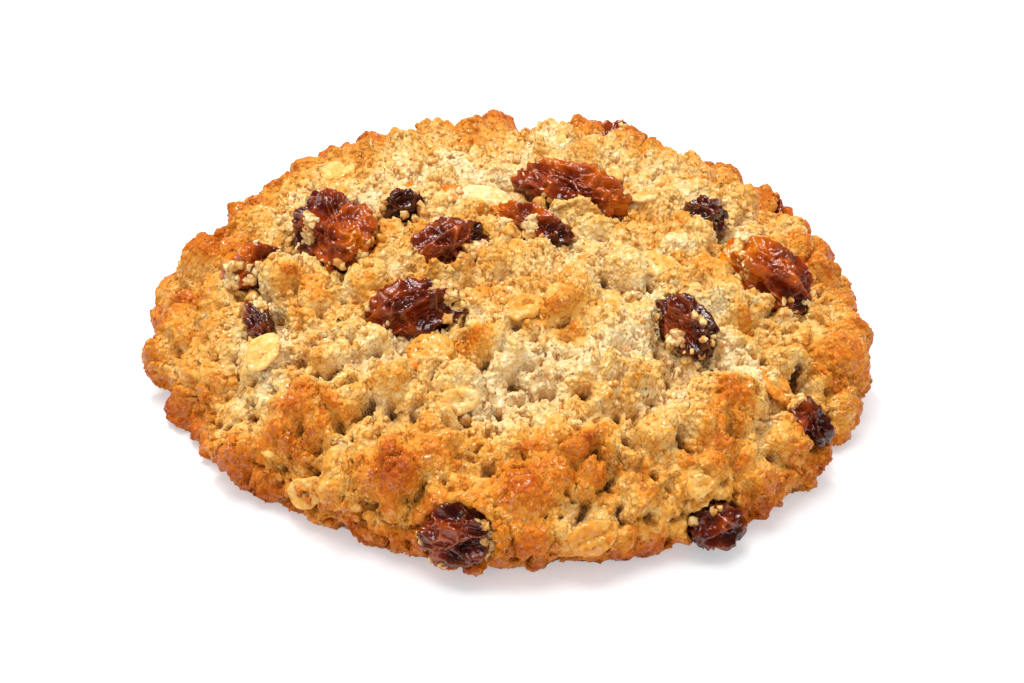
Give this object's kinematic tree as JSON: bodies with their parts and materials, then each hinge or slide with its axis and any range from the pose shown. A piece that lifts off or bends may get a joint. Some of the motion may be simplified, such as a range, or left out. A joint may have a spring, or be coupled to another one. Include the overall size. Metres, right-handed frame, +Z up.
{
  "type": "oatmeal raisin cookie",
  "caption": "Thick round oatmeal cookie with a craggy golden crust, a flat browned base and dark wrinkled raisins set into its top and rim.",
  "frame": {"origin": "middle of the flat base, on the surface the cookie rests on", "axes": "+Z up through the crown; -Y towards the rim that carries two raisins low down; +X to the right of that side"},
  "size_m": [0.0869, 0.0918, 0.0231],
  "materials": {
    "baked_dough": "baked oat dough: pale cream in the cracks, golden on the clumps, toasted brown on the ridges and the rim, matt and granular",
    "raisin": "shrivelled raisin skin, dark maroon with amber thin places, moist and glossy",
    "oat_flake": "rolled oat flake, pale straw, dull",
    "crumb": "dry crumb of baked dough, pale gold, matt"
  },
  "bodies": {
    "root": {"dough": "baked_dough", "raisin_01": "raisin", "raisin_02": "raisin", "raisin_03": "raisin", "raisin_04": "raisin", "raisin_05": "raisin", "raisin_06": "raisin", "raisin_07": "raisin", "raisin_08": "raisin", "raisin_09": "raisin", "raisin_10": "raisin", "raisin_11": "raisin", "raisin_12": "raisin", "raisin_13": "raisin", "raisin_14": "raisin", "raisin_15": "raisin", "raisin_16": "raisin", "raisin_17": "raisin"}
  },
  "joints": []
}
